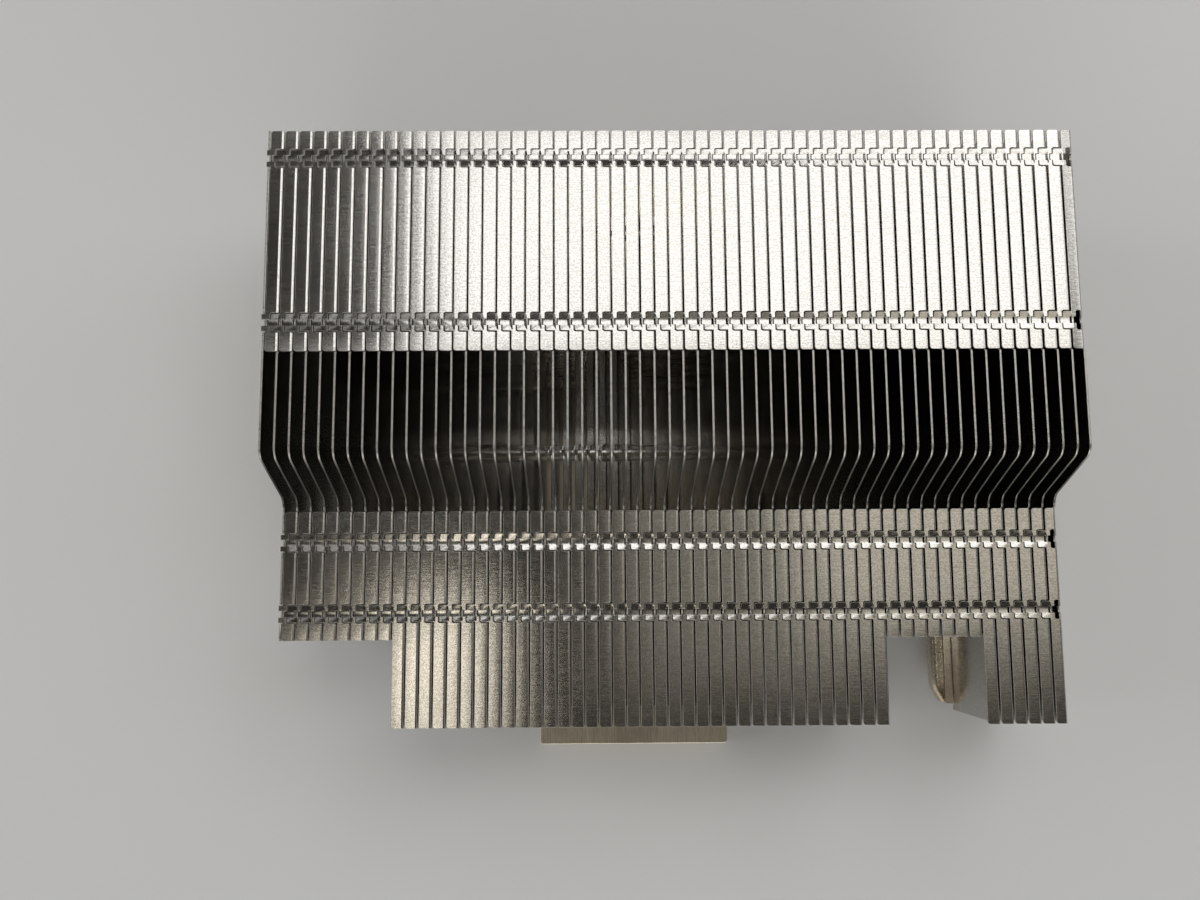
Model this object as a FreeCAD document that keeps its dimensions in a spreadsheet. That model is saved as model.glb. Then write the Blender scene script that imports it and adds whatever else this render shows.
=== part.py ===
"""Passive server CPU heatsink: a stack of folded zipper fins on a base plate with heat pipes.

Frame: millimetres, origin at the centre of the face that presses on the processor,
+X across the fins to the right, +Y along the fins to the tall rear end, +Z up.

Every fin is one sheet: a flat web with two flanges folded over to the left along its top,
on two levels, and one along its bottom. Tabs on the free edge of each top flange hook into
the windows of the fin before it, which zips the stack together. The flange bottoms are
soldered to the base plate and to two flattened heat pipes that lie in its grooves.
"""
import FreeCAD, Part
import math
import os

import Sketcher

# Driving dimensions in millimetres. Y sizes of a fin are measured from its front end.
SIZES = {
    # fin stack
    "fin_pitch": 2.0,
    "last_fin_pitch": 1.75,
    "first_fin_x": -51.8,
    "fin_thickness": 0.3,
    "fin_length": 84.2,
    "low_height": 20.3,
    "tall_height": 33.3,
    "notch_depth": 12.5,
    # step from the low level up to the tall one
    "low_flange_end": 31.2,
    "slope_foot": 32.8,
    "slope_top": 37.8,
    "slope_ease": 0.1,
    "tall_flange_start": 52.4,
    # folded flanges
    "flange_gap": 0.1,
    "bottom_flange_gap": 0.45,
    "bottom_flange_inset": 1.0,
    # zipper locks
    "low_lock_front_inset": 3.85,
    "low_lock_rear_inset": 4.55,
    "tall_lock_inset": 4.05,
    "window_length": 2.5,
    "window_reach": 1.3,
    "tab_length": 0.9,
    "tab_clearance": 0.15,
    # base plate
    "plate_width": 30.2,
    "plate_thickness": 4.5,
    "plate_lip": 5.0,
    "plate_corner_radius": 0.6,
    # heat pipes
    "pipe_width": 8.5,
    "pipe_thickness": 3.0,
    "pipe_row_y": 15.2,
    "pipe_bend_radius": 16.0,
    "pipe_left_end": 42.0,
    "pipe_leg_x": 52.9,
    "pipe_end_inset": 1.2,
    "pipe_end_bevel": 2.0,
    "pipe_edge_bevel": 0.9,
    "groove_clearance": 0.05,
}

LEFT_NOTCH_FINS = 8
MIDDLE_FINS = 36
RIGHT_NOTCH_FINS = 7
RIGHT_COLUMN_FINS = 5

doc = FreeCAD.newDocument("heatsink")


def make_sheet():
    """Put the driving dimensions in a spreadsheet, one aliased cell each."""
    sheet = doc.addObject("Spreadsheet::Sheet", "Sizes")
    for row, (alias, value) in enumerate(SIZES.items(), start=1):
        sheet.set(f"A{row}", alias.replace("_", " "))
        sheet.set(f"B{row}", str(value))
        sheet.setAlias(f"B{row}", alias)
    doc.recompute()
    return sheet


sheet = make_sheet()


def bound(formula):
    """Turn a formula on bare aliases into one on the sheet's cells."""
    words = formula.replace("(", " ( ").replace(")", " ) ").split()
    return " ".join(f"Sizes.{word}" if word in SIZES else word for word in words)


def value(formula):
    """Work a formula out as a plain number."""
    return float(sheet.evalExpression(bound(formula)))


def make_body(name):
    """Add an empty PartDesign body."""
    return doc.addObject("PartDesign::Body", name)


def origin_plane(body, role):
    """Find one of a body's own origin planes."""
    return next(item for item in body.Origin.OriginFeatures if item.Role == role)


def make_sketch(body, name, role, offset="0"):
    """Attach a sketch to an origin plane of its body, moved along the plane's normal."""
    sketch = body.newObject("Sketcher::SketchObject", name)
    sketch.AttachmentSupport = [(origin_plane(body, role), "")]
    sketch.MapMode = "FlatFace"
    sketch.setExpression(".AttachmentOffset.Base.z", bound(offset))
    return sketch


def pin_point(sketch, geometry, position, across, up):
    """Tie a sketch point's two coordinates to formulas."""
    for kind, formula in (("DistanceX", across), ("DistanceY", up)):
        index = sketch.addConstraint(Sketcher.Constraint(kind, geometry, position, value(formula)))
        sketch.setExpression(f"Constraints[{index}]", bound(formula))


def corner_arc(before, corner, after, radius):
    """Return the arc that rounds a corner, with its two tangent points, in drawing order."""
    into = (before - corner).normalize()
    out = (after - corner).normalize()
    half = into.getAngle(out) / 2
    start = corner + into * (radius / math.tan(half))
    end = corner + out * (radius / math.tan(half))
    centre = corner + (into + out).normalize() * (radius / math.sin(half))
    middle = centre + (corner - centre).normalize() * radius
    return Part.Arc(start, middle, end), start, end


def draw_outline(sketch, corners):
    """Draw one closed outline whose corners are (across, up) or (across, up, radius) formulas."""
    points = [FreeCAD.Vector(value(corner[0]), value(corner[1]), 0) for corner in corners]
    count = len(corners)
    starts, ends, arcs = list(points), list(points), {}
    for i, corner in enumerate(corners):
        if len(corner) == 3:
            arc, enter, leave = corner_arc(points[i - 1], points[i], points[(i + 1) % count],
                                           value(corner[2]))
            ends[i], starts[i], arcs[i] = enter, leave, arc
    lines = [sketch.addGeometry(Part.LineSegment(starts[i], ends[(i + 1) % count]))
             for i in range(count)]
    for i, corner in enumerate(corners):
        before, after = lines[i - 1], lines[i]
        if i not in arcs:
            sketch.addConstraint(Sketcher.Constraint("Coincident", before, 2, after, 1))
            pin_point(sketch, after, 1, corner[0], corner[1])
            continue
        arc = sketch.addGeometry(arcs[i])
        first, last = arc_ends(sketch, arc, ends[i])
        sketch.addConstraint(Sketcher.Constraint("Tangent", before, 2, arc, first))
        sketch.addConstraint(Sketcher.Constraint("Tangent", arc, last, after, 1))
        index = sketch.addConstraint(Sketcher.Constraint("Radius", arc, value(corner[2])))
        sketch.setExpression(f"Constraints[{index}]", bound(corner[2]))
        tip = sketch.addGeometry(Part.Point(points[i]), True)
        pin_point(sketch, tip, 1, corner[0], corner[1])
        sketch.addConstraint(Sketcher.Constraint("PointOnObject", tip, 1, before))
        sketch.addConstraint(Sketcher.Constraint("PointOnObject", tip, 1, after))


def arc_ends(sketch, arc, enter):
    """Tell which end of a sketch arc lies on the incoming line, and which on the outgoing one."""
    return (1, 2) if sketch.getPoint(arc, 1).distanceToPoint(enter) < 1e-6 else (2, 1)


def draw_box(sketch, left, right, low, high):
    """Draw one rectangle between four formulas."""
    draw_outline(sketch, [(left, low), (right, low), (right, high), (left, high)])


def add_feature(body, kind, name, sketch, length, reverse=False):
    """Pad or pocket a sketch by a formula, and check that the solid grew or shrank."""
    doc.recompute()
    before = body.Shape.Volume if body.Tip else 0.0
    feature = body.newObject(f"PartDesign::{kind}", name)
    feature.Profile = sketch
    feature.Reversed = reverse
    feature.setExpression("Length", bound(length))
    doc.recompute()
    grew = body.Shape.Volume > before
    if grew != (kind == "Pad") or body.Shape.Volume == before:
        raise RuntimeError(f"{body.Name}: {name} changed nothing")
    return feature


# Centres of the zipper locks: two on each level, set in from the ends that all fins share.
LOCKS = {
    "low": ("notch_depth + low_lock_front_inset", "low_flange_end - low_lock_rear_inset"),
    "tall": ("tall_flange_start + tall_lock_inset", "fin_length - tall_lock_inset"),
}


def draw_web(body, front, flanged):
    """Cut the flat of a fin: its stepped outline, lowered where a flange is folded from it."""
    fold = "fin_thickness" if flanged else "0"
    rise = "( tall_height - low_height )"
    run = "( slope_top - slope_foot )"
    sketch = make_sketch(body, body.Name + "_outline", "YZ_Plane")
    draw_outline(sketch, [
        (front, "0"),
        ("fin_length", "0"),
        ("fin_length", f"tall_height - {fold}"),
    ] + ([
        ("tall_flange_start", "tall_height - fin_thickness"),
        ("tall_flange_start", "tall_height"),
    ] if flanged else []) + [
        (f"slope_top + slope_ease * {rise}", "tall_height"),
        (f"slope_top - slope_ease * {run}", f"tall_height - slope_ease * {rise}"),
        (f"slope_foot + slope_ease * {run}", f"low_height + slope_ease * {rise}"),
        (f"slope_foot - slope_ease * {rise}", "low_height"),
    ] + ([
        ("low_flange_end", "low_height"),
        ("low_flange_end", "low_height - fin_thickness"),
    ] if flanged else []) + [
        (front, f"low_height - {fold}"),
    ])
    add_feature(body, "Pad", body.Name + "_web", sketch, "fin_thickness", reverse=True)


def fold_flange(body, name, height, start, end, reach):
    """Fold one top flange over to the left, with its outside eased at the fold."""
    sketch = make_sketch(body, f"{body.Name}_{name}_section", "XZ_Plane", f"- ( {end} )")
    draw_outline(sketch, [
        ("0", f"{height} - fin_thickness"),
        ("- fin_thickness", height),
        (f"- ( {reach} )", height),
        (f"- ( {reach} )", f"{height} - fin_thickness"),
    ])
    add_feature(body, "Pad", f"{body.Name}_{name}", sketch, f"{end} - ( {start} )")


def fold_bottom(body, front, pitch):
    """Fold the bottom flange, which is set back from both ends of the fin."""
    sketch = make_sketch(body, body.Name + "_bottom_section", "XZ_Plane",
                         "- ( fin_length - bottom_flange_inset )")
    draw_box(sketch, f"- ( {pitch} - bottom_flange_gap )", "- fin_thickness",
             "0", "fin_thickness")
    add_feature(body, "Pad", body.Name + "_bottom", sketch,
                f"fin_length - 2 * bottom_flange_inset - ( {front} )")


def cut_windows(body, level, reach):
    """Cut the lock windows of one level across the fold."""
    sketch = make_sketch(body, f"{body.Name}_{level}_windows_outline", "XY_Plane",
                         f"{level}_height")
    for lock in LOCKS[level]:
        draw_box(sketch, f"- {reach}", "fin_thickness",
                 f"{lock} - window_length / 2", f"{lock} + window_length / 2")
    add_feature(body, "Pocket", f"{body.Name}_{level}_windows", sketch, "fin_thickness")


def add_tabs(body, level, reach):
    """Leave the lock tabs of one level on the free edge of its flange."""
    sketch = make_sketch(body, f"{body.Name}_{level}_tabs_outline", "XY_Plane",
                         f"{level}_height - fin_thickness")
    for lock in LOCKS[level]:
        draw_box(sketch, f"- ( {reach} + flange_gap + tab_length )", f"- ( {reach} )",
                 f"{lock} - ( window_length / 2 - tab_clearance )",
                 f"{lock} + window_length / 2 - tab_clearance")
    add_feature(body, "Pad", f"{body.Name}_{level}_tabs", sketch, "fin_thickness")


def make_fin(name, front, pitch):
    """Build one kind of folded fin, from its front end back, for the pitch to its left."""
    body = make_body(name)
    reach = f"{pitch} - flange_gap"
    draw_web(body, front, flanged=True)
    fold_flange(body, "low", "low_height", front, "low_flange_end", reach)
    fold_flange(body, "tall", "tall_height", "tall_flange_start", "fin_length", reach)
    fold_bottom(body, front, pitch)
    for level in LOCKS:
        cut_windows(body, level, "window_reach")
        add_tabs(body, level, reach)
    return body


def make_end_plate():
    """Build the flat fin that closes the stack on the left, notched for the first tabs."""
    body = make_body("end_plate_blank")
    draw_web(body, "notch_depth", flanged=False)
    for level in LOCKS:
        cut_windows(body, level, "2 * fin_thickness")
    return body


def make_base_plate():
    """Build the plate that carries the stack, with a groove across it for each heat pipe."""
    body = make_body("base_plate")
    half_length = "( fin_length / 2 + plate_lip )"
    half_width = "( plate_width / 2 )"
    sketch = make_sketch(body, "plate_outline", "XY_Plane")
    draw_outline(sketch, [(f"{x} {half_width}", f"{y} {half_length}", "plate_corner_radius")
                          for x, y in (("-", "-"), ("", "-"), ("", ""), ("-", ""))])
    add_feature(body, "Pad", "plate", sketch, "plate_thickness")
    for name, side in (("front_groove", "-"), ("rear_groove", "")):
        section = make_sketch(body, name + "_section", "YZ_Plane", "- plate_width")
        draw_pipe_section(section, f"{side} pipe_row_y", "groove_clearance", "plate_thickness")
        add_feature(body, "Pocket", name, section, "2 * plate_width", reverse=True)
    return body


def draw_pipe_section(sketch, centre, clearance, top):
    """Draw the flattened section of a heat pipe, open upwards to the given height."""
    half = f"( pipe_width / 2 + {clearance} )"
    flat = f"( pipe_width / 2 - pipe_edge_bevel )"
    floor = f"plate_thickness - pipe_thickness - {clearance}"
    shoulder = f"{floor} + pipe_edge_bevel + {clearance}"
    draw_outline(sketch, [
        (f"{centre} - {flat}", floor),
        (f"{centre} + {flat}", floor),
        (f"{centre} + {half}", shoulder),
        (f"{centre} + {half}", top),
        (f"{centre} - {half}", top),
        (f"{centre} - {half}", shoulder),
    ])


def make_pipe():
    """Build the front heat pipe: a flattened tube along the row that turns to the front."""
    body = make_body("heat_pipe_front")
    left = "- pipe_left_end"
    outer, inner = "pipe_leg_x + pipe_width / 2", "pipe_leg_x - pipe_width / 2"
    near = "- pipe_row_y - pipe_width / 2"
    far = "- pipe_row_y + pipe_width / 2"
    front = "- fin_length / 2 + pipe_end_inset"
    sketch = make_sketch(body, "pipe_outline", "XY_Plane", "plate_thickness - pipe_thickness")
    draw_outline(sketch, [
        (f"{left} + pipe_end_bevel", near),
        (inner, near, "pipe_bend_radius - pipe_width / 2"),
        (inner, f"{front} + pipe_end_bevel"),
        (f"{inner} + pipe_end_bevel", front),
        (f"{outer} - pipe_end_bevel", front),
        (outer, f"{front} + pipe_end_bevel"),
        (outer, far, "pipe_bend_radius + pipe_width / 2"),
        (f"{left} + pipe_end_bevel", far),
        (left, f"{far} - pipe_end_bevel"),
        (left, f"{near} + pipe_end_bevel"),
    ])
    pad = add_feature(body, "Pad", "pipe_flat", sketch, "pipe_thickness")
    rims = [f"Edge{i}" for i, edge in enumerate(pad.Shape.Edges, start=1)
            if edge.BoundBox.ZLength < 1e-6]
    bevel = body.newObject("PartDesign::Chamfer", "pipe_edges")
    bevel.Base = (pad, rims)
    bevel.setExpression("Size", "Sizes.pipe_edge_bevel")
    doc.recompute()
    return body


def place_copy(label, source, across):
    """Stand a copy of one kind of fin in the stack."""
    copy = doc.addObject("Part::Compound", label)
    copy.Label = label
    copy.Links = [source]
    copy.setExpression(".Placement.Base.x", bound(across))
    copy.setExpression(".Placement.Base.y", bound("- fin_length / 2"))
    copy.setExpression(".Placement.Base.z", bound("plate_thickness"))
    return copy


def make_stack():
    """Place the end plate and every fin from left to right, and return them."""
    short = make_fin("short_fin_blank", "notch_depth", "fin_pitch")
    long = make_fin("long_fin_blank", "0", "fin_pitch")
    closing = make_fin("closing_fin_blank", "0", "last_fin_pitch")
    groups = [("left_notch_fin", LEFT_NOTCH_FINS, short), ("middle_fin", MIDDLE_FINS, long),
              ("right_notch_fin", RIGHT_NOTCH_FINS, short),
              ("right_column_fin", RIGHT_COLUMN_FINS, long)]
    stack = [place_copy("left_end_plate", make_end_plate(), "first_fin_x")]
    for name, count, source in groups:
        for number in range(1, count + 1):
            across = f"first_fin_x + {len(stack)} * fin_pitch"
            stack.append(place_copy(f"{name}_{number:02d}", source, across))
    last = f"first_fin_x + {len(stack) - 1} * fin_pitch + last_fin_pitch"
    stack.append(place_copy("right_closing_fin", closing, last))
    return stack


def make_pipes():
    """Mirror the front heat pipe to the rear and group the two."""
    front = make_pipe()
    rear = doc.addObject("Part::Mirroring", "heat_pipe_rear")
    rear.Source = front
    rear.Normal = (0, 1, 0)
    pair = doc.addObject("Part::Compound", "heat_pipes")
    pair.Label = "heat_pipes"
    pair.Links = [front, rear]
    return pair


def export(nodes):
    """Check the whole document and write each node to its own STEP file."""
    doc.recompute()
    for item in doc.Objects:
        if "Invalid" in item.State or "Error" in item.State:
            raise RuntimeError(f"{item.Name}: {item.State}")
    for node in nodes:
        if node.Shape.isNull() or not node.Shape.isValid():
            raise RuntimeError(f"{node.Label}: bad shape")
    os.makedirs("parts", exist_ok=True)
    for node in nodes:
        node.Shape.exportStep(f"parts/{node.Label}.step")
        print(f"{node.Label}: {len(node.Shape.Solids)} solid, {node.Shape.Volume:.1f} mm3")


export([make_base_plate(), make_pipes()] + make_stack())
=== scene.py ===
"""Looks of a passive heatsink: folded fins that lock together, a base plate and heat pipes."""

import logging
import math
from dataclasses import dataclass, field
from enum import Enum
from typing import Any, Optional, Sequence, Union

import bmesh
import bpy
from bmesh.types import BMEdge, BMesh, BMFace, BMVert
from mathutils import Matrix, Vector


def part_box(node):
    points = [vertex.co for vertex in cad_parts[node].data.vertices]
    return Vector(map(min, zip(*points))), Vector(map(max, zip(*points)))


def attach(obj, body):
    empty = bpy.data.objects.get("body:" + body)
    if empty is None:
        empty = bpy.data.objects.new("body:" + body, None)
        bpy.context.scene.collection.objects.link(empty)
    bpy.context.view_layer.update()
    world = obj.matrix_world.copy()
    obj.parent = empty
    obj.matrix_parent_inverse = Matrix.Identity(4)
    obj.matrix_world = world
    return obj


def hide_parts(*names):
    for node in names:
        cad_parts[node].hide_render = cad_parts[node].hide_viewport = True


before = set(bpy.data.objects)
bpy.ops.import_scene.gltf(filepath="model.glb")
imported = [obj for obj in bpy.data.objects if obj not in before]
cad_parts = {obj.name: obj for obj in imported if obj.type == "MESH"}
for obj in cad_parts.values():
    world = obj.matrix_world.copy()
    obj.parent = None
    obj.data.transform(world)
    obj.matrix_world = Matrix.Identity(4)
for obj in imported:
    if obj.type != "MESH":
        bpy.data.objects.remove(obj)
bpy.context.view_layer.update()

MM = 0.001
# Places closer than SNAP count as one place; vertices closer than WELD are merged.
SNAP = 0.001 * MM
WELD = 0.0001 * MM
BODY = "root"
log = logging.getLogger("heatsink")


# ---------------------------------------------------------------- shader graphs


class Signal:
    """One output in a shader graph. Arithmetic on it adds Math nodes."""

    def __init__(self, graph: "ShaderGraph", socket: bpy.types.NodeSocket) -> None:
        """Wrap a socket.

        Args:
            graph: the graph that the socket is in.
            socket: the output to work on.
        """
        self.graph = graph
        self.socket = socket

    def _math(self, operation: str, first: "Value", second: "Value") -> "Signal":
        """Add one Math node for two operands."""
        return self.graph.node("ShaderNodeMath", {"operation": operation}, {0: first, 1: second})

    def __add__(self, other: "Value") -> "Signal":
        """Add."""
        return self._math("ADD", self, other)

    def __radd__(self, other: "Value") -> "Signal":
        """Add, reflected."""
        return self._math("ADD", other, self)

    def __sub__(self, other: "Value") -> "Signal":
        """Subtract."""
        return self._math("SUBTRACT", self, other)

    def __rsub__(self, other: "Value") -> "Signal":
        """Subtract, reflected."""
        return self._math("SUBTRACT", other, self)

    def __mul__(self, other: "Value") -> "Signal":
        """Multiply."""
        return self._math("MULTIPLY", self, other)

    def __rmul__(self, other: "Value") -> "Signal":
        """Multiply, reflected."""
        return self._math("MULTIPLY", other, self)

    def band(self, low: float, high: float) -> "Signal":
        """Rise smoothly from 0 to 1 between two values.

        Args:
            low: the value that gives 0.
            high: the value that gives 1.

        Returns:
            The smoothed signal.
        """
        return self.graph.node(
            "ShaderNodeMapRange",
            {"interpolation_type": "SMOOTHSTEP"},
            {"Value": self, "From Min": low, "From Max": high},
        )


Value = Union[Signal, float]
Triple = tuple[float, float, float]
Colour = Triple


class ShaderGraph:
    """A material or world under construction, with one method that makes every node."""

    def __init__(self, name: str, world: bool = False) -> None:
        """Start an empty material or world.

        Args:
            name: its name.
            world: whether it is a world.
        """
        kinds = bpy.data.worlds if world else bpy.data.materials
        self.owner = kinds.new(name)
        self.owner.use_nodes = True
        self.tree = self.owner.node_tree
        self.tree.nodes.clear()

    def node(
        self,
        kind: str,
        settings: Optional[dict[str, Any]] = None,
        values: Optional[dict[Union[int, str], Any]] = None,
        output: Union[int, str] = 0,
    ) -> Signal:
        """Add a node, set it up and feed it.

        Args:
            kind: the node's type.
            settings: properties that are set first.
            values: plain values or signals for its sockets.
            output: the output to return.

        Returns:
            The chosen output.
        """
        made = self.tree.nodes.new(kind)
        for name, setting in (settings or {}).items():
            setattr(made, name, setting)
        for name, value in (values or {}).items():
            if isinstance(value, Signal):
                self.tree.links.new(value.socket, made.inputs[name])
            elif isinstance(value, tuple) and len(value) == 3 and made.inputs[name].type == "RGBA":
                made.inputs[name].default_value = (*value, 1.0)
            else:
                made.inputs[name].default_value = value
        return Signal(self, made.outputs[output] if made.outputs else None)

    def place(self) -> Signal:
        """Return the point on the object, in metres."""
        return self.node("ShaderNodeTexCoord", output="Object")

    def noise(self, stretch: Triple, detail: float = 2.0, rough: float = 0.5) -> Signal:
        """Add noise with its own number of cells per metre on each axis.

        Args:
            stretch: cells per metre along X, Y and Z.
            detail: octaves.
            rough: how strong the finer octaves are.

        Returns:
            Noise from 0 to 1.
        """
        point = self.node("ShaderNodeMapping", values={"Vector": self.place(), "Scale": stretch})
        return self.node(
            "ShaderNodeTexNoise",
            values={"Vector": point, "Scale": 1.0, "Detail": detail, "Roughness": rough},
        )

    def blend(self, factor: Value, first: Any, second: Any) -> Signal:
        """Mix two colours.

        Args:
            factor: 0 gives the first, 1 the second.
            first: a colour or a signal.
            second: a colour or a signal.

        Returns:
            The mixed colour.
        """
        return self.node(
            "ShaderNodeMix", {"data_type": "RGBA"}, {0: factor, 6: first, 7: second}, output=2
        )

    def bump(self, height: Signal, strength: float, distance: float) -> Signal:
        """Turn a height into a normal.

        Args:
            height: the height signal.
            strength: how much of it to use.
            distance: the height of 1, in metres.

        Returns:
            The bumped normal.
        """
        return self.node(
            "ShaderNodeBump", values={"Height": height, "Strength": strength, "Distance": distance}
        )

    def surface(self, **values: Any) -> bpy.types.Material:
        """Finish the surface, as metal unless its Metallic is given.

        Args:
            **values: sockets of the shader, with underscores for spaces.

        Returns:
            The material.
        """
        feeds = {name.replace("_", " "): value for name, value in values.items()}
        shader = self.node("ShaderNodeBsdfPrincipled", values={"Metallic": 1.0, **feeds})
        self.node("ShaderNodeOutputMaterial", values={"Surface": shader})
        return self.owner


@dataclass(frozen=True)
class RolledStrip:
    """Satin rolled aluminium strip: cross grain, speckle, haze and painted shade that browns the
    fins near the base, where shade falls deep between them.
    """

    name: str = "rolled_fin_strip"
    clean: Colour = (0.655, 0.64, 0.605)
    dull: Colour = (0.45, 0.435, 0.405)
    # dark brown of the painted shade near the base
    painted_base_shade: Colour = (0.30, 0.24, 0.17)
    roughness: float = 0.15
    grain_cells: Triple = (500.0, 9000.0, 900.0)
    speckle_cells: Triple = (3600.0, 3600.0, 3600.0)
    haze_cells: Triple = (70.0, 45.0, 60.0)
    base_shade_heights: tuple[float, float] = (4.0 * MM, 9.0 * MM)
    base_shade_share: float = 0.8
    speckle_share: float = 0.6

    def build(self) -> bpy.types.Material:
        """Build the material.

        Returns:
            The finish.
        """
        graph = ShaderGraph(self.name)
        grain = graph.noise(self.grain_cells, detail=3.0, rough=0.6)
        speckle = graph.noise(self.speckle_cells, detail=3.0, rough=0.6)
        haze = graph.noise(self.haze_cells, detail=3.0)
        height = graph.node("ShaderNodeSeparateXYZ", values={0: graph.place()}, output=2)
        # painted shade: below these heights the fins blend towards the dark brown, mottled by the
        # haze, standing in for the shade deep between the fins
        near_base = (1.0 - height.band(*self.base_shade_heights)) * haze.band(0.35, 0.65)
        mottle = grain * (1.0 - self.speckle_share) + speckle * self.speckle_share
        colour = graph.blend(mottle.band(0.38, 0.62), self.dull, self.clean)
        colour = graph.blend(near_base * self.base_shade_share, colour, self.painted_base_shade)
        roughness = self.roughness + (grain - 0.5) * 0.12 + (haze - 0.5) * 0.14 + near_base * 0.1
        normal = graph.bump(grain * 0.6 + speckle * 0.4, 0.38, 0.018 * MM)
        return graph.surface(Base_Color=colour, Roughness=roughness, Normal=normal)


@dataclass(frozen=True)
class ShearedEdge:
    """The cut edge of the strip: drag lines through its thickness, and painted shade that darkens
    the edges along the slope.
    """

    name: str = "sheared_fin_edge"
    bright: Colour = (0.55, 0.53, 0.49)
    dark: Colour = (0.26, 0.245, 0.22)
    # near-black colour of the painted shade on the edges along the slope
    painted_slope_shade: Colour = (0.11, 0.105, 0.095)
    slope_shade_ends: tuple[float, float] = (-10.0 * MM, -4.4 * MM)
    slope_shade_fades: tuple[float, float] = (0.4 * MM, 1.6 * MM)
    drag_cells: Triple = (900.0, 5200.0, 5200.0)
    roughness: float = 0.42

    def build(self) -> bpy.types.Material:
        """Build the material.

        Returns:
            The finish.
        """
        graph = ShaderGraph(self.name)
        drag = graph.noise(self.drag_cells, detail=3.0, rough=0.65)
        along = graph.node("ShaderNodeSeparateXYZ", values={0: graph.place()}, output=1)
        (front, rear), (rise, fall) = self.slope_shade_ends, self.slope_shade_fades
        # painted shade: edges between these places along Y, over the slope, blend to the
        # near-black colour
        slope_shade = along.band(front - rise, front) * (1.0 - along.band(rear - fall, rear))
        colour = graph.blend(drag.band(0.3, 0.6), self.dark, self.bright)
        colour = graph.blend(slope_shade, colour, self.painted_slope_shade)
        normal = graph.bump(drag, 0.5, 0.03 * MM)
        roughness = self.roughness + (drag - 0.5) * 0.25
        return graph.surface(Base_Color=colour, Roughness=roughness, Normal=normal)


@dataclass(frozen=True)
class BrushedPlate:
    """Nickel plating over a plate that was brushed along its length, slightly golden."""

    name: str = "brushed_nickel_plate"
    pale: Colour = (0.76, 0.69, 0.56)
    deep: Colour = (0.52, 0.46, 0.36)
    roughness: float = 0.42
    brush_cells: Triple = (7000.0, 260.0, 2500.0)
    cloud_cells: Triple = (160.0, 120.0, 160.0)
    speck_cells: Triple = (5200.0, 5200.0, 5200.0)

    def build(self) -> bpy.types.Material:
        """Build the material.

        Returns:
            The finish.
        """
        graph = ShaderGraph(self.name)
        brush = graph.noise(self.brush_cells, detail=4.0, rough=0.65)
        cloud = graph.noise(self.cloud_cells, detail=2.0)
        speck = graph.noise(self.speck_cells, detail=2.0)
        tone = brush * 0.6 + cloud * 0.25 + speck * 0.15
        colour = graph.blend(tone.band(0.38, 0.62), self.deep, self.pale)
        normal = graph.bump(brush * 0.8 + speck * 0.2, 0.5, 0.02 * MM)
        roughness = self.roughness + (tone - 0.5) * 0.3
        return graph.surface(Base_Color=colour, Roughness=roughness, Normal=normal)


@dataclass(frozen=True)
class PlatedPipe:
    """Nickel-plated heat pipe: soft orange-peel from flattening, warm where plating thins."""

    name: str = "plated_heat_pipe"
    pale: Colour = (0.68, 0.62, 0.51)
    warm: Colour = (0.62, 0.47, 0.29)
    roughness: float = 0.28
    peel_cells: Triple = (2600.0, 2600.0, 2600.0)
    draw_cells: Triple = (420.0, 2800.0, 2800.0)
    wear_cells: Triple = (240.0, 240.0, 240.0)

    def build(self) -> bpy.types.Material:
        """Build the material.

        Returns:
            The finish.
        """
        graph = ShaderGraph(self.name)
        peel = graph.noise(self.peel_cells, detail=3.0, rough=0.6)
        draw = graph.noise(self.draw_cells, detail=2.0)
        worn = graph.noise(self.wear_cells, detail=3.0).band(0.48, 0.66)
        colour = graph.blend(worn * 0.7 + (peel - 0.5) * 0.4, self.pale, self.warm)
        normal = graph.bump(peel * 0.7 + draw * 0.3, 0.6, 0.05 * MM)
        roughness = self.roughness + (peel - 0.5) * 0.3
        return graph.surface(Base_Color=colour, Roughness=roughness, Normal=normal)


@dataclass(frozen=True)
class PaleFloor:
    """Plain pale table surface."""

    name: str = "pale_floor"
    colour: Colour = (0.80, 0.80, 0.79)
    fade: float = 0.985
    roughness: float = 0.7
    fleck_cells: Triple = (30.0, 30.0, 30.0)

    def build(self) -> bpy.types.Material:
        """Build the material.

        Returns:
            The finish.
        """
        graph = ShaderGraph(self.name)
        fleck = graph.noise(self.fleck_cells, detail=2.0)
        darker: Colour = tuple(part * self.fade for part in self.colour)
        colour = graph.blend(fleck, darker, self.colour)
        return graph.surface(Metallic=0.0, Base_Color=colour, Roughness=self.roughness)


# ---------------------------------------------------------------- mesh helpers


def vertex_at(bm: BMesh, point: Sequence[float]) -> BMVert:
    """Find the vertex nearest to a point.

    Args:
        bm: the mesh.
        point: the place to look at.

    Returns:
        The nearest vertex.
    """
    spot = Vector(point)
    return min(bm.verts, key=lambda vert: (vert.co - spot).length_squared)


def verts_of(edges: Sequence[BMEdge]) -> list[BMVert]:
    """List the vertices of some edges, each once and always in the same order."""
    return list(dict.fromkeys(vert for edge in edges for vert in edge.verts))


def push(bm: BMesh, edges: Sequence[BMEdge], step: Vector) -> list[BMEdge]:
    """Extrude edges and move the new ones.

    Args:
        bm: the mesh.
        edges: the open edges to extrude.
        step: how far to move them.

    Returns:
        The new outer edges.
    """
    made = bmesh.ops.extrude_edge_only(bm, edges=list(edges))["geom"]
    bmesh.ops.translate(bm, vec=step, verts=[part for part in made if isinstance(part, BMVert)])
    moved = {part for part in made if isinstance(part, BMVert)}
    return [
        part for part in made if isinstance(part, BMEdge) and all(v in moved for v in part.verts)
    ]


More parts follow.
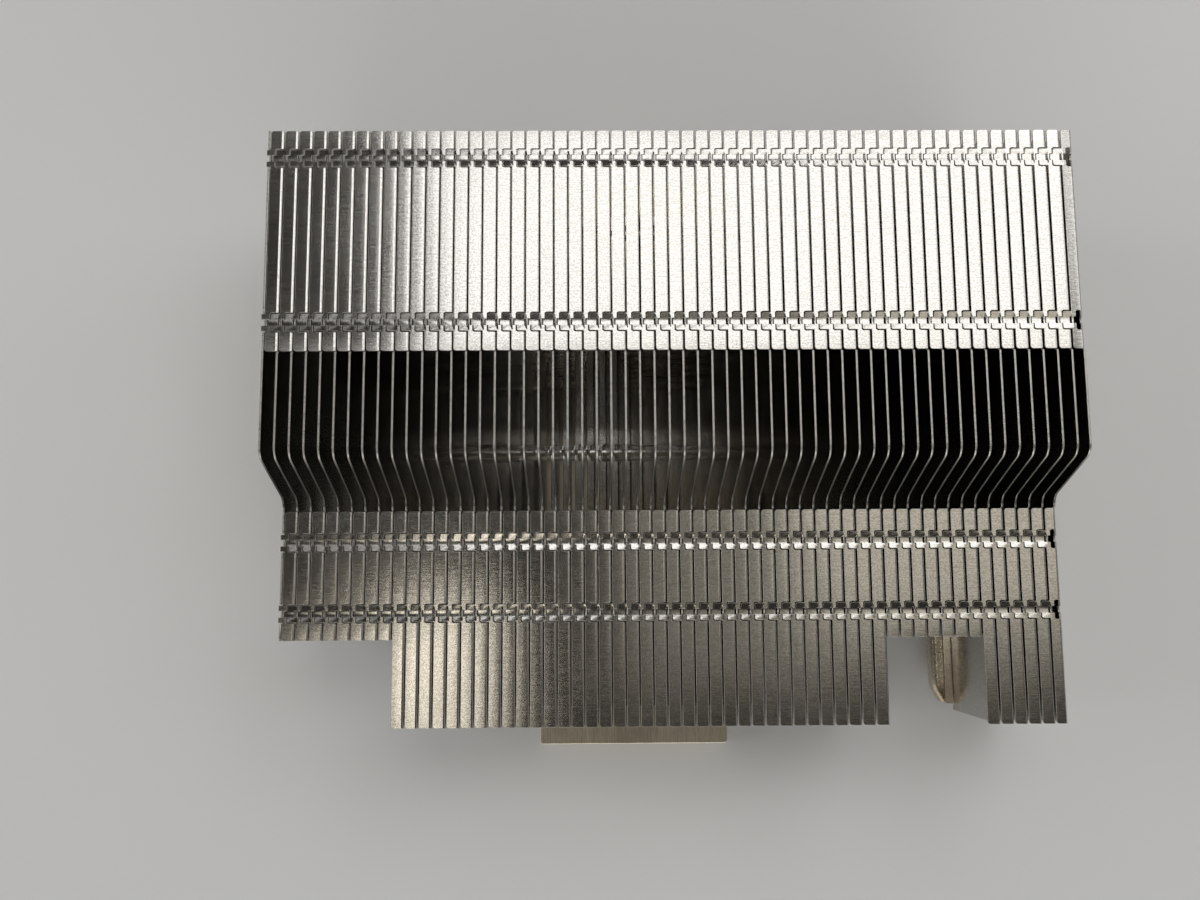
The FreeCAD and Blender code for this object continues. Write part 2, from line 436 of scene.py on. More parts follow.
def round_corner(bm: BMesh, point: Sequence[float], offset: float, segments: int) -> None:
    """Round one corner of a flat outline.

    Args:
        bm: the mesh.
        point: where the corner is.
        offset: how far along its two edges the round starts.
        segments: how many flats make the round.
    """
    bmesh.ops.bevel(
        bm,
        geom=[vertex_at(bm, point)],
        offset=offset,
        offset_type="OFFSET",
        segments=segments,
        profile=0.5,
        affect="VERTICES",
        material=-1,
    )


def make_object(name: str, bm: BMesh, finishes: Sequence[bpy.types.Material]) -> bpy.types.Object:
    """Turn a bmesh into an object at the origin.

    Args:
        name: the piece's name.
        bm: its mesh, which is freed.
        finishes: its materials.

    Returns:
        The object.
    """
    mesh = bpy.data.meshes.new(name)
    bm.to_mesh(mesh)
    bm.free()
    for finish in finishes:
        mesh.materials.append(finish)
    made = bpy.data.objects.new(name, mesh)
    bpy.context.scene.collection.objects.link(made)
    return made


def seat(piece: bpy.types.Object, node: str) -> None:
    """Let a piece stand for a CAD node.

    Args:
        piece: the finished object.
        node: the node that it replaces.
    """
    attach(piece, BODY)
    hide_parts(node)


# ---------------------------------------------------------------- folded fins


class TabHead(Enum):
    """What a fin's free edge carries at each lock."""

    BRIDGE = "bridge that dips into the neighbour's window"
    EAR = "two prongs that reach through the end plate"


@dataclass(frozen=True)
class LockSizes:
    """Sizes of one zipper lock: a cross-shaped window, and the bridge that fills the next one."""

    window_half: float = 1.38 * MM
    arm_half: float = 0.45 * MM
    free_strip: float = 0.25 * MM
    arm_step: float = 0.37 * MM
    corner_run: float = 0.24 * MM
    corner_margin: float = 0.10 * MM
    closing_strip: float = 0.21 * MM
    slot_below_bend: float = 0.30 * MM
    bridge_half: float = 1.24 * MM
    slit: float = 0.24 * MM
    lobe_reach: float = 1.26 * MM
    nub_reach: float = 1.62 * MM
    round: float = 0.22 * MM
    round_steps: int = 2
    inner_slope: float = 0.10
    outer_slope: float = 0.15
    lip_dip: float = 0.05 * MM
    ear_run: float = 0.45 * MM
    end_margin: float = 1.0 * MM


@dataclass(frozen=True)
class SheetSizes:
    """Sizes shared by every folded sheet."""

    thickness: float = 0.30 * MM
    bend_radius: float = 0.43 * MM
    edge_roll: float = 0.05 * MM
    bend_steps: int = 4
    corner: float = 0.37 * MM
    corner_steps: int = 3
    relief: float = 0.15 * MM
    slope_ease: float = 1.35 * MM
    slope_steps: int = 5
    lean_depth: float = 0.473 * MM
    flat_angle: float = math.radians(0.5)
    sharp_angle: float = math.radians(42.0)
    worn_angle: float = math.radians(60.0)
    lock: LockSizes = LockSizes()


@dataclass(frozen=True)
class Flange:
    """One folded edge of a fin, in the fin's own lengths.

    side is 1 for an edge folded at the top and -1 for one at the bottom.
    """

    start: float
    end: float
    face: float
    side: int
    gap: float
    locks: tuple[float, ...] = ()


@dataclass(frozen=True)
class FinProfile:
    """The stepped outline of a fin, from its front end, with its flanges and lock centres."""

    length: float = 84.2 * MM
    low_height: float = 20.3 * MM
    tall_height: float = 33.3 * MM
    low_flange_end: float = 31.2 * MM
    slope_foot: float = 32.8 * MM
    slope_top: float = 37.8 * MM
    tall_flange_start: float = 52.4 * MM
    bottom_inset: float = 1.0 * MM
    top_gap: float = 0.1 * MM
    bottom_gap: float = 0.45 * MM
    low_locks: tuple[float, ...] = (16.35 * MM, 26.65 * MM)
    tall_locks: tuple[float, ...] = (56.45 * MM, 80.15 * MM)
    bottom_locks: tuple[float, ...] = (16.35 * MM, 42.3 * MM, 80.15 * MM)

    def flanges(self, front: float) -> tuple[Flange, Flange, Flange]:
        """List the low, tall and bottom flanges of a fin.

        Args:
            front: where the fin's front end is.

        Returns:
            The three flanges.
        """
        return (
            Flange(front, self.low_flange_end, self.low_height, 1, self.top_gap, self.low_locks),
            Flange(
                self.tall_flange_start, self.length, self.tall_height, 1, self.top_gap,
                self.tall_locks,
            ),
            Flange(
                front + self.bottom_inset, self.length - self.bottom_inset, 0.0, -1,
                self.bottom_gap, self.bottom_locks,
            ),
        )


@dataclass
class SheetBlank:
    """One kind of fin, built at its own origin with the web's right face at x = 0."""

    front: float
    pitch: float
    folded: bool = True
    tab: TabHead = TabHead.BRIDGE
    closing: bool = False
    droop: float = 0.0
    profile: FinProfile = FinProfile()
    sizes: SheetSizes = SheetSizes()

    def build(self) -> BMesh:
        """Build the outer face of the sheet, folds and locks included.

        Returns:
            The open surface, facing outwards.
        """
        bm = bmesh.new()
        low, tall, bottom = self.profile.flanges(self.front)
        if self.folded:
            lines = [self._fold(bm, flange) for flange in (low, tall, bottom)]
        else:
            lines = [self._straight(bm, flange) for flange in (low, tall, bottom)]
        self._web(bm, *lines)
        bmesh.ops.dissolve_limit(
            bm, angle_limit=self.sizes.flat_angle, use_dissolve_boundaries=False,
            verts=bm.verts[:], edges=bm.edges[:],
        )
        self._ease_corners(bm, (low, tall, bottom))
        self._lean(bm, tall)
        bmesh.ops.recalc_face_normals(bm, faces=bm.faces[:])
        web = max(bm.faces, key=lambda face: face.calc_area())
        if web.normal.x < 0:
            bmesh.ops.reverse_faces(bm, faces=bm.faces[:])
        for face in bm.faces:
            face.smooth = True
        return bm

    def _lean(self, bm: BMesh, flange: Flange) -> None:
        """Let a flange lean down towards its fold, where nothing beside it holds it level.

        Args:
            bm: the mesh.
            flange: the flange that leans.
        """
        reach = self.pitch - flange.gap
        top = flange.face - self.sizes.lean_depth
        for vert in bm.verts:
            if vert.co.y > flange.start - SNAP and vert.co.z > top:
                vert.co.z -= max(vert.co.x + reach, 0.0) * self.droop

    def _stations(self, flange: Flange) -> list[float]:
        """List the places along a flange where its surface is divided.

        Args:
            flange: the flange.

        Returns:
            Places along Y, in order.
        """
        lock = self.sizes.lock
        marks = {flange.start, flange.end}
        for centre in self._locks(flange):
            marks.add(centre)
            for half in (lock.window_half, lock.bridge_half, lock.arm_half):
                marks |= {centre - half, centre + half}
        return sorted(marks)

    def _locks(self, flange: Flange) -> list[float]:
        """List the lock centres that are on a flange."""
        margin = self.sizes.lock.end_margin
        return [at for at in flange.locks if flange.start + margin < at < flange.end - margin]

    def _line(self, bm: BMesh, flange: Flange, height: float) -> list[BMVert]:
        """Lay a line of vertices along a flange.

        Args:
            bm: the mesh.
            flange: the flange.
            height: the line's height.

        Returns:
            Its vertices from front to rear.
        """
        stations = self._stations(flange)
        line = [bm.verts.new((0.0, stations[0], height))]
        for mark in stations[1:]:
            made = bmesh.ops.extrude_vert_indiv(bm, verts=[line[-1]])["verts"][0]
            made.co.y = mark
            line.append(made)
        return line

    def _fold(self, bm: BMesh, flange: Flange) -> list[BMVert]:
        """Fold one flange: bend, flat, windows and tabs.

        Args:
            bm: the mesh.
            flange: the flange to fold.

        Returns:
            The vertices where the bend meets the web, from front to rear.
        """
        sizes, lock = self.sizes, self.sizes.lock
        radius = sizes.bend_radius
        reach = self.pitch - flange.gap
        height = flange.face - flange.side * radius
        line = self._line(bm, flange, height)
        edges = [edge for edge in bm.edges if all(vert in line for vert in edge.verts)]
        spun = bmesh.ops.spin(
            bm, geom=line + edges, cent=(-radius, 0.0, height), axis=(0.0, -flange.side, 0.0),
            angle=math.pi / 2, steps=sizes.bend_steps, use_duplicate=False,
        )["geom_last"]
        outer = [part for part in spun if isinstance(part, BMEdge)]
        arm = reach - lock.free_strip
        lobe = arm - lock.arm_step
        run = self._corner_run(lobe)
        across = [radius, lobe - run, lobe, arm, reach]
        for before, after in zip(across, across[1:]):
            outer = push(bm, outer, Vector((before - after, 0.0, 0.0)))
        for centre in self._locks(flange):
            self._cut_window(bm, flange, centre, lobe, arm)
            near = [edge for edge in outer if edge.is_valid
                    and all(abs(vert.co.y - centre) < lock.window_half for vert in edge.verts)]
            if self.tab is TabHead.EAR:
                self._ears(bm, near, flange, centre)
            else:
                self._bridge(bm, near, flange, centre)
        return [vert for vert in line if vert.is_valid]

    def _corner_run(self, lobe: float) -> float:
        """Say how far a window's corners are eased on a flange whose lobes end at a distance."""
        lock = self.sizes.lock
        return min(lock.corner_run, lobe - self.sizes.bend_radius - lock.corner_margin)

    def _cut_window(
        self, bm: BMesh, flange: Flange, centre: float, lobe: float, arm: float
    ) -> None:
        """Cut a cross-shaped window through a flange and its bend.

        Args:
            bm: the mesh.
            flange: the flange that is cut.
            centre: the lock's centre.
            lobe: how far from the web the wide part of the cross ends.
            arm: how far from the web its arm ends.
        """
        lock = self.sizes.lock
        strip = lock.closing_strip if self.closing else 0.0
        run = self._corner_run(lobe)
        doomed: list[BMFace] = []
        for face in bm.faces:
            middle = face.calc_center_median()
            off, depth = abs(middle.y - centre), -middle.x
            if abs(middle.z - flange.face) > self.sizes.bend_radius or off > lock.window_half:
                continue
            in_corner = off > lock.bridge_half and depth > lobe - run
            if (off < lock.arm_half and depth < arm) or (strip < depth < lobe and not in_corner):
                doomed.append(face)
        bmesh.ops.delete(bm, geom=doomed, context="FACES")
        for way in (-1, 1):
            inner = vertex_at(bm, (run - lobe, centre + way * lock.bridge_half, flange.face))
            beside = vertex_at(bm, (-lobe, centre + way * lock.bridge_half, flange.face))
            bmesh.ops.pointmerge(bm, verts=[inner, beside], merge_co=beside.co)

    def _bridge(self, bm: BMesh, edge: list[BMEdge], flange: Flange, centre: float) -> None:
        """Draw a bridge out of the free edge, tied to it at both ends of a slit.

        Args:
            bm: the mesh.
            edge: the free edge beside the window.
            flange: its flange.
            centre: the lock's centre.
        """
        lock = self.sizes.lock
        made: list[BMVert] = []
        for way in (-1, 1):
            root = push(bm, self._prong(edge, centre, way), Vector((-lock.slit, 0.0, 0.0)))
            lobe = push(bm, root, Vector((lock.slit - lock.lobe_reach, 0.0, 0.0)))
            ends = verts_of(root + lobe)
            inner = self._middle_edges(ends, centre)
            middle = push(bm, inner, Vector((0.0, -way * lock.arm_half, 0.0)))
            made += ends + verts_of(middle)
        bmesh.ops.remove_doubles(bm, verts=made, dist=WELD)
        made = [vert for vert in made if vert.is_valid]
        far = min(vert.co.x for vert in made) + SNAP
        tips = [part for part in self._middle_edges(made, centre)
                if all(vert.co.x < far for vert in part.verts)]
        nub = push(bm, tips, Vector((lock.lobe_reach - lock.nub_reach, 0.0, 0.0)))
        for vert in made + verts_of(nub):
            off = abs(vert.co.y - centre)
            sag = (lock.bridge_half - max(off, lock.arm_half)) * lock.outer_slope
            sag += max(lock.arm_half - off, 0.0) * lock.inner_slope
            vert.co.z -= flange.side * max(sag, 0.0)
        for vert in verts_of(edge):
            if abs(vert.co.y - centre) < lock.arm_half + SNAP:
                vert.co.z -= flange.side * lock.lip_dip
        reach = self.pitch - flange.gap + lock.lobe_reach
        for way in (-1, 1):
            round_corner(
                bm, (-reach, centre + way * lock.bridge_half, flange.face), lock.round,
                lock.round_steps)

    def _middle_edges(self, verts: list[BMVert], centre: float) -> list[BMEdge]:
        """List the edges between some vertices that lie in the middle strip of a lock.

        Args:
            verts: the vertices to look at.
            centre: the lock's centre.

        Returns:
            The edges, each once.
        """
        inside = [vert for vert in verts
                  if abs(vert.co.y - centre) < self.sizes.lock.arm_half + SNAP]
        return list(dict.fromkeys(
            edge for vert in inside for edge in vert.link_edges
            if all(end in inside for end in edge.verts)))

    def _ears(self, bm: BMesh, edge: list[BMEdge], flange: Flange, centre: float) -> None:
        """Draw two prongs out of the free edge, through the slot of the end plate.

        Args:
            bm: the mesh.
            edge: the free edge beside the window.
            flange: its flange.
            centre: the lock's centre.
        """
        run = flange.gap + self.sizes.lock.ear_run
        for way in (-1, 1):
            push(bm, self._prong(edge, centre, way), Vector((-run, 0.0, 0.0)))

    def _prong(self, edge: list[BMEdge], centre: float, way: int) -> list[BMEdge]:
        """Pick the part of a free edge that one prong grows from.

        Args:
            edge: the free edge beside the window.
            centre: the lock's centre.
            way: 1 for the rear prong, -1 for the front one.

        Returns:
            Its edges.
        """
        lock = self.sizes.lock
        return [
            part for part in edge
            if all(lock.arm_half - SNAP < (vert.co.y - centre) * way < lock.bridge_half + SNAP
                   for vert in part.verts)
        ]

    def _straight(self, bm: BMesh, flange: Flange) -> list[BMVert]:
        """Leave a flat edge where a folded fin has a flange, with a slot for each neck.

        Args:
            bm: the mesh.
            flange: the flange that this sheet lacks.

        Returns:
            The vertices of the edge, from front to rear.
        """
        line = self._line(bm, flange, flange.face)
        inside = [
            vert for vert in line for centre in self._locks(flange)
            if abs(vert.co.y - centre) < self.sizes.lock.window_half - SNAP
        ]
        bmesh.ops.delete(bm, geom=inside, context="VERTS")
        return [vert for vert in line if vert.is_valid]

    def _edge_walk(self, bm: BMesh, line: list[BMVert], side: int) -> list[BMVert]:
        """Follow a fold from front to rear, dipping into the web at each slot.

        Args:
            bm: the mesh.
            line: the vertices along the fold.
            side: 1 at the top, -1 at the bottom.

        Returns:
            The vertices of the web's outline there.
        """
        dip = self.sizes.lock.slot_below_bend
        if not self.folded:
            dip += self.sizes.bend_radius
        walk = [line[0]]
        for before, after in zip(line, line[1:]):
            if not any(after in edge.verts for edge in before.link_edges):
                for vert in (before, after):
                    walk.append(bm.verts.new(vert.co + Vector((0.0, 0.0, -side * dip))))
            walk.append(after)
        return walk

    def _web(self, bm: BMesh, low: list[BMVert], tall: list[BMVert], bottom: list[BMVert]) -> None:
        """Fill the web between its folds.

        Args:
            bm: the mesh.
            low: the line of the low fold.
            tall: the line of the tall fold.
            bottom: the line of the bottom fold.
        """
        shape, relief = self.profile, self.sizes.relief

        def corner(along: float, height: float) -> BMVert:
            """Add one corner of the web."""
            return bm.verts.new((0.0, along, height))

        outline: list[BMVert] = [corner(self.front, 0.0)]
        if self.folded:
            under = bottom[0].co.z
            outline.append(corner(bottom[0].co.y - relief, 0.0))
            outline.append(corner(bottom[0].co.y - relief, under))
            outline += self._edge_walk(bm, bottom, -1)
            outline.append(corner(bottom[-1].co.y + relief, under))
            outline.append(corner(bottom[-1].co.y + relief, 0.0))
        else:
            outline += self._edge_walk(bm, bottom, -1)
        outline.append(corner(shape.length, 0.0))
        outline += reversed(self._edge_walk(bm, tall, 1))
        if self.folded:
            outline.append(corner(shape.tall_flange_start - relief, tall[0].co.z))
            outline.append(corner(shape.tall_flange_start - relief, shape.tall_height))
        outline.append(corner(shape.slope_top, shape.tall_height))
        outline.append(corner(shape.slope_foot, shape.low_height))
        if self.folded:
            outline.append(corner(shape.low_flange_end + relief, shape.low_height))
            outline.append(corner(shape.low_flange_end + relief, low[-1].co.z))
        outline += reversed(self._edge_walk(bm, low, 1))
        bm.faces.new(outline)

    def _ease_corners(self, bm: BMesh, flanges: Sequence[Flange]) -> None:
        """Round the flange corners and the two corners of the slope.

        Args:
            bm: the mesh.
            flanges: the fin's flanges.
        """
        shape, sizes = self.profile, self.sizes
        if self.folded:
            for flange in flanges:
                reach = self.pitch - flange.gap
                for end in (flange.start, flange.end):
                    round_corner(
                        bm, (-reach, end, flange.face), sizes.corner, sizes.corner_steps)
        for spot in ((shape.slope_top, shape.tall_height), (shape.slope_foot, shape.low_height)):
            round_corner(bm, (0.0, *spot), sizes.slope_ease, sizes.slope_steps)


@dataclass
class FinStack:
    """Every sheet of the stack, from the end plate on the left to the closing fin."""

    strip: bpy.types.Material
    edge: bpy.types.Material
    profile: FinProfile = FinProfile()
    sizes: SheetSizes = SheetSizes()
    pitch: float = 2.0 * MM
    pitch_margin: float = 0.1 * MM
    closing_droop: float = 0.09
    _blanks: dict[tuple, bpy.types.Mesh] = field(default_factory=dict)

    def build(self) -> list[bpy.types.Object]:
        """Build one object for each sheet.

        Returns:
            The sheets from left to right.
        """
        nodes = sorted(
            (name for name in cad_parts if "fin" in name or "end_plate" in name),
            key=lambda name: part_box(name)[1].x,
        )
        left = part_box(nodes[0])[1].x
        sheets = []
        for place, node in enumerate(nodes):
            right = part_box(node)[1].x
            sheets.append(self._sheet(node, right, right - left, place))
            left = right
        return sheets

    def _sheet(self, node: str, right: float, pitch: float, place: int) -> bpy.types.Object:
        """Stand one sheet in the stack.

        Args:
            node: the node that it stands for.
            right: where its web's right face is.
            pitch: the distance from the sheet on its left.
            place: its number in the stack.

        Returns:
            The sheet.
        """
        low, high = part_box(node)
        start = high.y - self.profile.length
        front = round(low.y - start, 6)
        kind = (front, round(pitch, 5), place == 0, place == 1)
        if kind not in self._blanks:
            tab = TabHead.EAR if place == 1 else TabHead.BRIDGE
            closing = 0 < pitch < self.pitch - self.pitch_margin
            droop = self.closing_droop if closing else 0.0
            blank = SheetBlank(front, pitch or self.pitch, place > 0, tab, closing, droop,
                               self.profile, self.sizes)
            bm = blank.build()
            mesh = bpy.data.meshes.new("blank")
            bm.to_mesh(mesh)
            bm.free()
            mesh.materials.append(self.strip)
            mesh.materials.append(self.edge)
            self._blanks[kind] = mesh
        mesh = self._blanks[kind].copy()
        mesh.name = f"{node}_sheet"
        mesh.transform(Matrix.Translation((right, start, low.z)))
        piece = bpy.data.objects.new(f"{node}_sheet", mesh)
        bpy.context.scene.collection.objects.link(piece)
        wall = piece.modifiers.new("gauge", "SOLIDIFY")
        wall.thickness = self.sizes.thickness
        wall.offset = -1.0
        wall.use_even_offset = True
        wall.material_offset_rim = 1
        worn = piece.modifiers.new("rolled_edges", "BEVEL")
        worn.width, worn.segments, worn.limit_method = self.sizes.edge_roll, 1, "ANGLE"
        worn.angle_limit = self.sizes.worn_angle
        worn.use_clamp_overlap = False
        soft = piece.modifiers.new("flats", "WEIGHTED_NORMAL")
        soft.keep_sharp, soft.mode = True, "FACE_AREA_WITH_ANGLE"
        mesh.set_sharp_from_angle(angle=self.sizes.sharp_angle)
        seat(piece, node)
        return piece


# ---------------------------------------------------------------- base plate and heat pipes


@dataclass(frozen=True)
class PipeSizes:
    """The route and section of a flattened heat pipe, measured on the plate.

    Each step of pinch is a share of the taper, then the shares of the width and the thickness.
    """

    row: float = 15.2 * MM
    width: float = 8.5 * MM
    thickness: float = 3.0 * MM
    left_end: float = -42.0 * MM
    leg: float = 52.9 * MM
    bend_radius: float = 16.0 * MM
    bend_steps: int = 28
    taper: float = 3.2 * MM
    pinch: tuple[tuple[float, float, float], ...] = (
        (0.0, 0.66, 0.80), (0.25, 0.78, 0.90), (0.6, 0.93, 0.98), (1.0, 1.0, 1.0),
    )
    round: float = 1.3 * MM
    round_steps: int = 6
    sharp_angle: float = math.radians(50.0)
    clearance: float = 0.05 * MM
    groove_bevel: float = 0.9 * MM


@dataclass
class BasePlate:
    """The plate under the stack, with a groove across it for each heat pipe."""

    finish: bpy.types.Material
    pipe: PipeSizes = PipeSizes()
    node: str = "base_plate"
    corner: float = 0.6 * MM
    corner_steps: int = 5
    rim: float = 0.15 * MM
    rim_angle: float = math.radians(40.0)
    sharp_angle: float = math.radians(35.0)

    def build(self) -> bpy.types.Object:
        """Build the plate from its long section.

        Returns:
            The plate.
        """
        low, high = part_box(self.node)
        bm = bmesh.new()
        section = [bm.verts.new((low.x, along, height))
                   for along, height in self._section(low, high)]
        blank = bm.faces.new(section)
        grown = bmesh.ops.extrude_face_region(bm, geom=[blank])["geom"]
        moved = [part for part in grown if isinstance(part, BMVert)]
        bmesh.ops.translate(bm, vec=(high.x - low.x, 0.0, 0.0), verts=moved)
        bmesh.ops.recalc_face_normals(bm, faces=bm.faces[:])
        corners = [
            edge for edge in bm.edges
            if all(abs(abs(v.co.y) - high.y) < SNAP for v in edge.verts)
            and abs(edge.verts[0].co.x - edge.verts[1].co.x) < SNAP
        ]
        bmesh.ops.bevel(
            bm, geom=corners, offset=self.corner, segments=self.corner_steps, profile=0.5,
            affect="EDGES", material=-1,
        )
        piece = make_object("base_plate_metal", bm, [self.finish])
        rim = piece.modifiers.new("broken_edges", "BEVEL")
        rim.width, rim.segments, rim.limit_method = self.rim, 2, "ANGLE"
        rim.angle_limit = self.rim_angle
        rim.harden_normals = True
        piece.data.shade_smooth()
        piece.data.set_sharp_from_angle(angle=self.sharp_angle)
        seat(piece, self.node)
        return piece

    def _section(self, low: Vector, high: Vector) -> list[tuple[float, float]]:
        """Trace the long section: a bar with two grooves in its top.

        Args:
            low: the plate's lowest corner.
            high: its highest corner.

        Returns:
            Points along Y and Z.
        """
        pipe = self.pipe
        half = pipe.width / 2 + pipe.clearance
        floor = high.z - pipe.thickness - pipe.clearance
        points = [(high.y, high.z), (high.y, low.z), (low.y, low.z), (low.y, high.z)]
        for row in (-pipe.row, pipe.row):
            points += [
                (row - half, high.z),
                (row - half, floor + pipe.groove_bevel),
                (row - half + pipe.groove_bevel, floor),
                (row + half - pipe.groove_bevel, floor),
                (row + half, floor + pipe.groove_bevel),
                (row + half, high.z),
            ]
        return points


@dataclass
class HeatPipe:
    """A flattened heat pipe that runs along its row, then turns under the right column."""

    name: str
    side: int
    finish: bpy.types.Material
    sizes: PipeSizes = PipeSizes()
    node: str = "heat_pipes"

    def build(self) -> bpy.types.Object:
        """Build the pipe by pushing its section along the route.

        Returns:
            The pipe.
        """
        sizes = self.sizes
        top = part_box("base_plate")[1].z
        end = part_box(self.node)[1].y - sizes.bend_radius - sizes.row
        centre = Vector((sizes.left_end, self.side * sizes.row, top - sizes.thickness / 2))
        bm = bmesh.new()
        ring = self._section(bm, centre)
        ring = self._end(bm, ring, Vector((sizes.taper, 0.0, 0.0)), opening=True)
        straight = sizes.leg - sizes.bend_radius - sizes.left_end - sizes.taper
        ring = push(bm, ring, Vector((straight, 0.0, 0.0)))
        pivot = (sizes.leg - sizes.bend_radius, self.side * (sizes.row + sizes.bend_radius), 0.0)
        spun = bmesh.ops.spin(
            bm, geom=verts_of(ring) + ring, cent=pivot, axis=(0.0, 0.0, float(self.side)),
            angle=math.pi / 2, steps=sizes.bend_steps, use_duplicate=False,
        )["geom_last"]
        ring = [part for part in spun if isinstance(part, BMEdge)]
        ring = push(bm, ring, Vector((0.0, self.side * (end - sizes.taper), 0.0)))
        self._end(bm, ring, Vector((0.0, self.side * sizes.taper, 0.0)), opening=False)
        bmesh.ops.holes_fill(bm, edges=bm.edges[:], sides=0)
        bmesh.ops.recalc_face_normals(bm, faces=bm.faces[:])
        for face in bm.faces:
            face.smooth = True
        piece = make_object(self.name, bm, [self.finish])
        piece.data.set_sharp_from_angle(angle=sizes.sharp_angle)
        return piece

    def _section(self, bm: BMesh, centre: Vector) -> list[BMEdge]:
        """Make the pipe's rounded section at its left end.

        Args:
            bm: the mesh.
            centre: the section's centre.

        Returns:
            The edges of the section.
        """
        sizes = self.sizes
        grid = bmesh.ops.create_grid(bm, x_segments=1, y_segments=1, size=0.5)["verts"]
        upright = Matrix.Rotation(math.pi / 2, 3, "Y")
        bmesh.ops.rotate(bm, verts=grid, cent=(0, 0, 0), matrix=upright)
        bmesh.ops.scale(bm, vec=(1.0, sizes.width, sizes.thickness), verts=grid)
        bmesh.ops.bevel(
            bm, geom=grid, offset=sizes.round, offset_type="OFFSET",
            segments=sizes.round_steps, profile=0.5, affect="VERTICES", material=-1,
        )
        bmesh.ops.translate(bm, vec=centre, verts=bm.verts[:])
        bmesh.ops.delete(bm, geom=bm.faces[:], context="FACES_ONLY")
        return bm.edges[:]

    def _end(
        self, bm: BMesh, ring: list[BMEdge], along: Vector, opening: bool
    ) -> list[BMEdge]:
        """Draw one end of the tube, where it is pinched shut.

        Args:
            bm: the mesh.
            ring: the section that the end starts from.
            along: the length and direction of the end.
            opening: whether the tube grows from its tip, or closes to it.

        Returns:
            The last section.
        """
        steps = list(self.sizes.pinch) if opening else list(reversed(self.sizes.pinch))
        past = (1.0, 1.0)
        place = 0.0 if opening else 1.0
        for share, across, deep in steps:
            if share != place:
                ring = push(bm, ring, along * abs(share - place))
            verts = verts_of(ring)
            middle = sum((vert.co for vert in verts), Vector()) / len(verts)
            wide, thick = across / past[0], deep / past[1]
            factors = (1.0, wide, thick) if abs(along.x) > 0 else (wide, 1.0, thick)
            bmesh.ops.scale(bm, vec=factors, verts=verts, space=Matrix.Translation(-middle))
            past, place = (across, deep), share
        return ring


# ---------------------------------------------------------------- studio


@dataclass(frozen=True)
class SoftLamp:
    """A rectangular soft lamp that is set by how bright it looks in a mirror."""

    name: str
    place: Triple
    target: Triple
    size: tuple[float, float]
    radiance: float
    tint: Colour = (1.0, 1.0, 1.0)

    def build(self) -> None:
        """Add the lamp to the scene."""
        data = bpy.data.lights.new(self.name, "AREA")
        data.shape = "RECTANGLE"
        data.size, data.size_y = self.size
        data.energy = self.radiance * math.pi * self.size[0] * self.size[1]
        data.color = self.tint
        lamp = bpy.data.objects.new(self.name, data)
        aim = Vector(self.target) - Vector(self.place)
        lamp.location = self.place
        lamp.rotation_euler = aim.to_track_quat("-Z", "Y").to_euler()
        bpy.context.scene.collection.objects.link(lamp)


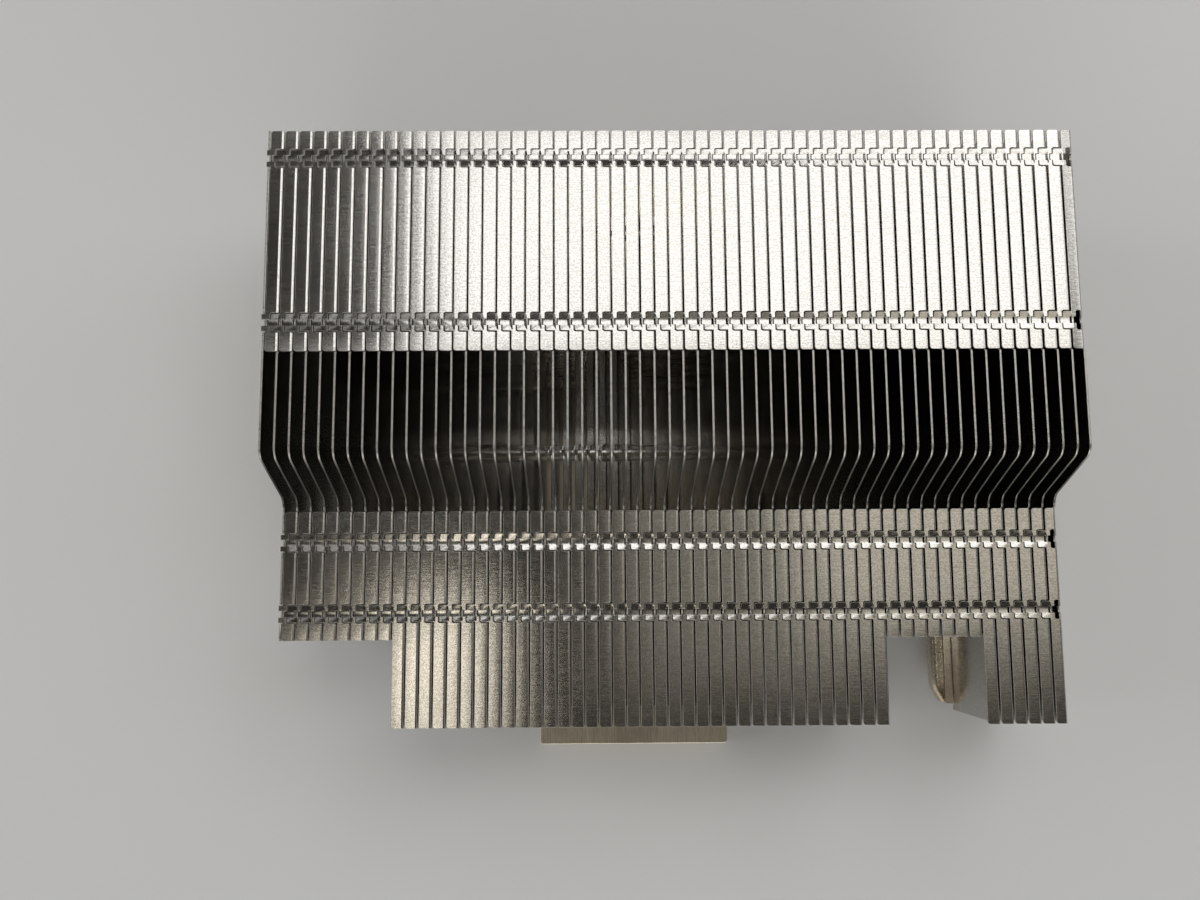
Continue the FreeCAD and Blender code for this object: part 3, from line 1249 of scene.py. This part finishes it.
@dataclass
class Studio:
    """Floor, world, lamps and camera. The camera's turns are in degrees."""

    floor_finish: bpy.types.Material
    zenith: Colour = (0.034, 0.031, 0.027)
    left_wall: Colour = (0.60, 0.59, 0.58)
    right_wall: Colour = (0.28, 0.28, 0.28)
    rise: tuple[float, float] = (0.35, 0.80)
    across: tuple[float, float] = (-0.2, 0.5)
    floor_size: float = 4.0
    lens: float = 33.0
    sensor: float = 36.0
    clip: tuple[float, float] = (0.005, 20.0)
    eye: Triple = (-7.17 * MM, -23.17 * MM, 186.59 * MM)
    pitch: float = -7.477
    yaw: float = -0.62
    roll: float = -0.287
    lamps: tuple[SoftLamp, ...] = (
        SoftLamp("rear_softbox", (0.128, 0.200, 0.55), (0.128, 0.05, 0.03), (0.474, 0.19), 1.85),
        SoftLamp("far_softbox", (0.25, 0.39, 0.50), (0.10, 0.04, 0.03), (0.28, 0.18), 1.8),
        SoftLamp("right_wall", (0.52, 0.22, 0.40), (0.05, 0.03, 0.03), (0.30, 0.36), 1.3),
        SoftLamp("left_near_card", (-0.085, 0.0305, 0.20), (-0.085, 0.0305, 0.0), (0.075, 0.029),
                 0.5),
        SoftLamp("left_far_panel", (-0.18, 0.307, 0.53), (-0.18, 0.307, 0.0), (0.12, 0.06), 0.4),
        SoftLamp("wide_panel", (0.23, 0.02, 0.53), (0.23, 0.02, 0.0), (0.44, 0.20), 0.22,
                 (1.0, 0.93, 0.80)),
        SoftLamp("right_panel", (0.24, 0.03, 0.52), (0.24, 0.03, 0.0), (0.24, 0.14), 0.46,
                 (1.0, 0.94, 0.82)),
        SoftLamp("left_panel", (-0.091, -0.078, 0.53), (-0.091, -0.078, 0.0), (0.060, 0.10), 2.0,
                 (1.0, 0.93, 0.80)),
        SoftLamp("corner_panel", (-0.155, -0.063, 0.53), (-0.155, -0.063, 0.0), (0.06, 0.042), 0.8,
                 (1.0, 0.93, 0.80)),
        SoftLamp("front_side", (0.10, -0.80, 0.30), (0.05, -0.1, 0.0), (0.80, 0.36), 2.6),
        SoftLamp("left_side", (-0.62, 0.05, 0.26), (-0.05, 0.0, 0.0), (0.40, 0.36), 2.2),
    )

    def build(self) -> None:
        """Build the whole studio."""
        self._floor()
        self._world()
        for lamp in self.lamps:
            lamp.build()
        self._camera()
        bpy.context.scene.view_settings.view_transform = "Standard"

    def _floor(self) -> None:
        """Lay a plain floor under the plate."""
        bm = bmesh.new()
        bmesh.ops.create_grid(bm, x_segments=1, y_segments=1, size=self.floor_size)
        floor = make_object("floor", bm, [self.floor_finish])

    def _world(self) -> None:
        """Surround the object with a soft room: dark overhead, darker on the right."""
        graph = ShaderGraph("soft_room", world=True)
        way = graph.node("ShaderNodeTexCoord", output="Generated")
        right = graph.node("ShaderNodeSeparateXYZ", values={0: way}, output=0)
        height = graph.node("ShaderNodeSeparateXYZ", values={0: way}, output=2)
        walls = graph.blend(right.band(*self.across), self.left_wall, self.right_wall)
        colour = graph.blend(height.band(*self.rise), walls, self.zenith)
        light = graph.node("ShaderNodeBackground", values={"Color": colour})
        graph.node("ShaderNodeOutputWorld", values={"Surface": light})
        bpy.context.scene.world = graph.owner

    def _camera(self) -> None:
        """Aim the camera down at the stack."""
        data = bpy.data.cameras.new("camera")
        data.lens, data.sensor_width = self.lens, self.sensor
        data.clip_start, data.clip_end = self.clip
        camera = bpy.data.objects.new("camera", data)
        flip = Matrix(((1, 0, 0), (0, -1, 0), (0, 0, -1)))
        turn = (
            Matrix.Rotation(math.radians(self.roll), 3, "Z")
            @ Matrix.Rotation(math.radians(self.yaw), 3, "Y")
            @ Matrix.Rotation(math.radians(self.pitch), 3, "X")
            @ flip
        )
        facing = turn.transposed() @ flip
        camera.matrix_world = Matrix.Translation(self.eye) @ facing.to_4x4()
        bpy.context.scene.collection.objects.link(camera)
        bpy.context.scene.camera = camera


def main() -> None:
    """Build and dress every piece in order."""
    logging.basicConfig(level=logging.INFO, format="%(name)s: %(message)s")
    stack = FinStack(RolledStrip().build(), ShearedEdge().build()).build()
    log.info("stack: %d sheets", len(stack))
    plate = BasePlate(BrushedPlate().build()).build()
    log.info("%s: %d faces", plate.name, len(plate.data.polygons))
    plated = PlatedPipe().build()
    for name, side in (("front_heat_pipe", -1), ("rear_heat_pipe", 1)):
        pipe = HeatPipe(name, side, plated).build()
        seat(pipe, "heat_pipes")
        log.info("%s: %d faces", pipe.name, len(pipe.data.polygons))
    Studio(PaleFloor().build()).build()


if __name__ == "__main__":
    main()
